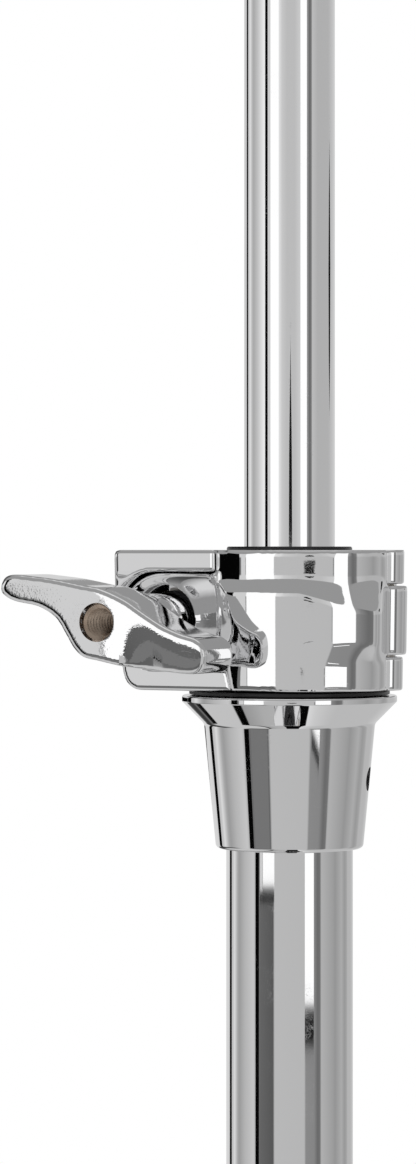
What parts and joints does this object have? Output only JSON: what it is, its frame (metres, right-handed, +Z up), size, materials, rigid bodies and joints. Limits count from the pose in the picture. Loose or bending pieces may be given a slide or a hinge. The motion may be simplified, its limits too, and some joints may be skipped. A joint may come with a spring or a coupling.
{
  "type": "straight cymbal stand",
  "caption": "Chromed straight cymbal stand: folding braced tripod, telescoping tubes in hinged wing-nut clamps, tilter and felt seat.",
  "frame": {"origin": "on the floor under the middle of the stand's bounding box; the tube axis runs up at X 0, Y -70.72 mm", "axes": "+Z up along the tubes; the clamp bolts and wing nuts face -Y; one leg points along +Y"},
  "size_m": [0.534, 0.4624, 1.072],
  "materials": {
    "chrome": "polished chrome plate",
    "zinc_steel": "zinc-plated steel",
    "nylon": "moulded black nylon",
    "rubber": "moulded black rubber",
    "felt": "pressed wool felt"
  },
  "bodies": {
    "base": {"base_tube": "chrome", "base_tube_end_cap": "rubber", "brace_collar": "chrome", "lower_flared_collar": "chrome", "lower_set_screw": "zinc_steel", "lower_bushing": "nylon"},
    "leg_slider": {"leg_collar": "chrome"},
    "leg_lock": {"leg_collar_wing_bolt": "chrome"},
    "leg_1": {"leg_1_left_strip": "chrome", "leg_1_right_strip": "chrome", "leg_1_pivot_pin": "zinc_steel", "foot_1": "rubber"},
    "brace_1": {"brace_1": "chrome", "brace_1_pivot_pin": "zinc_steel", "brace_1_middle_pin": "zinc_steel"},
    "leg_2": {"leg_2_left_strip": "chrome", "leg_2_right_strip": "chrome", "leg_2_pivot_pin": "zinc_steel", "foot_2": "rubber"},
    "brace_2": {"brace_2": "chrome", "brace_2_pivot_pin": "zinc_steel", "brace_2_middle_pin": "zinc_steel"},
    "leg_3": {"leg_3_left_strip": "chrome", "leg_3_right_strip": "chrome", "leg_3_pivot_pin": "zinc_steel", "foot_3": "rubber"},
    "brace_3": {"brace_3": "chrome", "brace_3_pivot_pin": "zinc_steel", "brace_3_middle_pin": "zinc_steel"},
    "lower_clamp": {"lower_clamp_body": "chrome", "lower_hinge_pin": "zinc_steel", "lower_clamp_bolt": "zinc_steel"},
    "lower_door": {"lower_clamp_door": "chrome"},
    "lower_washer": {"lower_clamp_washer": "zinc_steel"},
    "lower_nut": {"lower_wing_nut": "chrome"},
    "middle": {"middle_tube": "chrome", "upper_flared_collar": "chrome", "upper_set_screw": "zinc_steel", "upper_bushing": "nylon"},
    "upper_clamp": {"upper_clamp_body": "chrome", "upper_hinge_pin": "zinc_steel", "upper_clamp_bolt": "zinc_steel"},
    "upper_door": {"upper_clamp_door": "chrome"},
    "upper_washer": {"upper_clamp_washer": "zinc_steel"},
    "upper_nut": {"upper_wing_nut": "chrome"},
    "top": {"top_tube": "chrome", "tilter_base": "chrome", "tilter_bolt": "zinc_steel"},
    "tilter_nut": {"tilter_wing_nut": "chrome"},
    "head": {"tilter_head": "chrome", "cymbal_rod": "zinc_steel", "seat_sleeve": "nylon", "cup_washer": "chrome", "lower_felt": "felt"},
    "seat_top": {"upper_felt": "felt"},
    "top_nut": {"top_wing_nut": "chrome"}
  },
  "joints": [
    {"name": "leg_fold", "type": "slide", "parent": "base", "child": "leg_slider", "axis": [0, 0, 1], "range_m": [0, 0.08784]},
    {"name": "leg_lock_spin", "type": "hinge", "parent": "leg_slider", "child": "leg_lock", "pos_m": [0, -0.10072, 0.18816], "axis": [0, -1, 0], "continuous": true},
    {"name": "leg_1_pivot", "type": "hinge", "parent": "leg_slider", "child": "leg_1", "pos_m": [0, -0.03872, 0.18816], "axis": [-1, 0, 0], "range_deg": [0, 55]},
    {"name": "brace_1_pivot", "type": "hinge", "parent": "base", "child": "brace_1", "pos_m": [0, -0.03872, 0.07], "axis": [1, 0, 0], "range_deg": [0, 55]},
    {"name": "leg_2_pivot", "type": "hinge", "parent": "leg_slider", "child": "leg_2", "pos_m": [-0.02771, -0.08672, 0.18816], "axis": [0.5, -0.866, 0], "range_deg": [0, 55]},
    {"name": "brace_2_pivot", "type": "hinge", "parent": "base", "child": "brace_2", "pos_m": [-0.02771, -0.08672, 0.07], "axis": [-0.5, 0.866, 0], "range_deg": [0, 55]},
    {"name": "leg_3_pivot", "type": "hinge", "parent": "leg_slider", "child": "leg_3", "pos_m": [0.02771, -0.08672, 0.18816], "axis": [0.5, 0.866, 0], "range_deg": [0, 55]},
    {"name": "brace_3_pivot", "type": "hinge", "parent": "base", "child": "brace_3", "pos_m": [0.02771, -0.08672, 0.07], "axis": [-0.5, -0.866, 0], "range_deg": [0, 55]},
    {"name": "lower_swivel", "type": "hinge", "parent": "base", "child": "lower_clamp", "pos_m": [0, -0.07072, 0.5302], "axis": [0, 0, 1], "continuous": true},
    {"name": "lower_door_swing", "type": "hinge", "parent": "lower_clamp", "child": "lower_door", "pos_m": [0.02075, -0.06852, 0.5302], "axis": [0, 0, 1], "range_deg": [0, 4]},
    {"name": "lower_nut_travel", "type": "slide", "parent": "lower_clamp", "child": "lower_washer", "axis": [0, -1, 0], "range_m": [0, 0.0034]},
    {"name": "lower_nut_spin", "type": "hinge", "parent": "lower_washer", "child": "lower_nut", "pos_m": [-0.02115, -0.09472, 0.5302], "axis": [0, -1, 0], "continuous": true},
    {"name": "lower_height", "type": "slide", "parent": "lower_clamp", "child": "middle", "axis": [0, 0, 1], "range_m": [-0.16, 0.12]},
    {"name": "upper_swivel", "type": "hinge", "parent": "middle", "child": "upper_clamp", "pos_m": [0, -0.07072, 0.7502], "axis": [0, 0, 1], "continuous": true},
    {"name": "upper_door_swing", "type": "hinge", "parent": "upper_clamp", "child": "upper_door", "pos_m": [0.0176, -0.06852, 0.7502], "axis": [0, 0, 1], "range_deg": [0, 4]},
    {"name": "upper_nut_travel", "type": "slide", "parent": "upper_clamp", "child": "upper_washer", "axis": [0, -1, 0], "range_m": [0, 0.003]},
    {"name": "upper_nut_spin", "type": "hinge", "parent": "upper_washer", "child": "upper_nut", "pos_m": [-0.018, -0.09472, 0.7502], "axis": [0, -1, 0], "continuous": true},
    {"name": "upper_height", "type": "slide", "parent": "upper_clamp", "child": "top", "axis": [0, 0, 1], "range_m": [-0.165, 0.12]},
    {"name": "tilter_nut_spin", "type": "hinge", "parent": "top", "child": "tilter_nut", "pos_m": [0, -0.08472, 0.959], "axis": [0, -1, 0], "continuous": true},
    {"name": "cymbal_tilt", "type": "hinge", "parent": "top", "child": "head", "pos_m": [0, -0.07072, 0.959], "axis": [0, 1, 0], "range_deg": [-90, 90]},
    {"name": "upper_felt_lift", "type": "slide", "parent": "head", "child": "seat_top", "axis": [0, 0, 1], "range_m": [0, 0.03]},
    {"name": "top_nut_spin", "type": "hinge", "parent": "seat_top", "child": "top_nut", "pos_m": [0, -0.07072, 1.029], "axis": [0, 0, 1], "continuous": true}
  ],
  "couplings": [
    {"joint": "leg_1_pivot", "follows": "leg_fold", "rad_per_m": 10.928},
    {"joint": "brace_1_pivot", "follows": "leg_fold", "rad_per_m": 10.928},
    {"joint": "leg_2_pivot", "follows": "leg_fold", "rad_per_m": 10.928},
    {"joint": "brace_2_pivot", "follows": "leg_fold", "rad_per_m": 10.928},
    {"joint": "leg_3_pivot", "follows": "leg_fold", "rad_per_m": 10.928},
    {"joint": "brace_3_pivot", "follows": "leg_fold", "rad_per_m": 10.928},
    {"joint": "lower_nut_travel", "follows": "lower_door_swing", "m_per_rad": 0.0487},
    {"joint": "upper_nut_travel", "follows": "upper_door_swing", "m_per_rad": 0.04297}
  ]
}
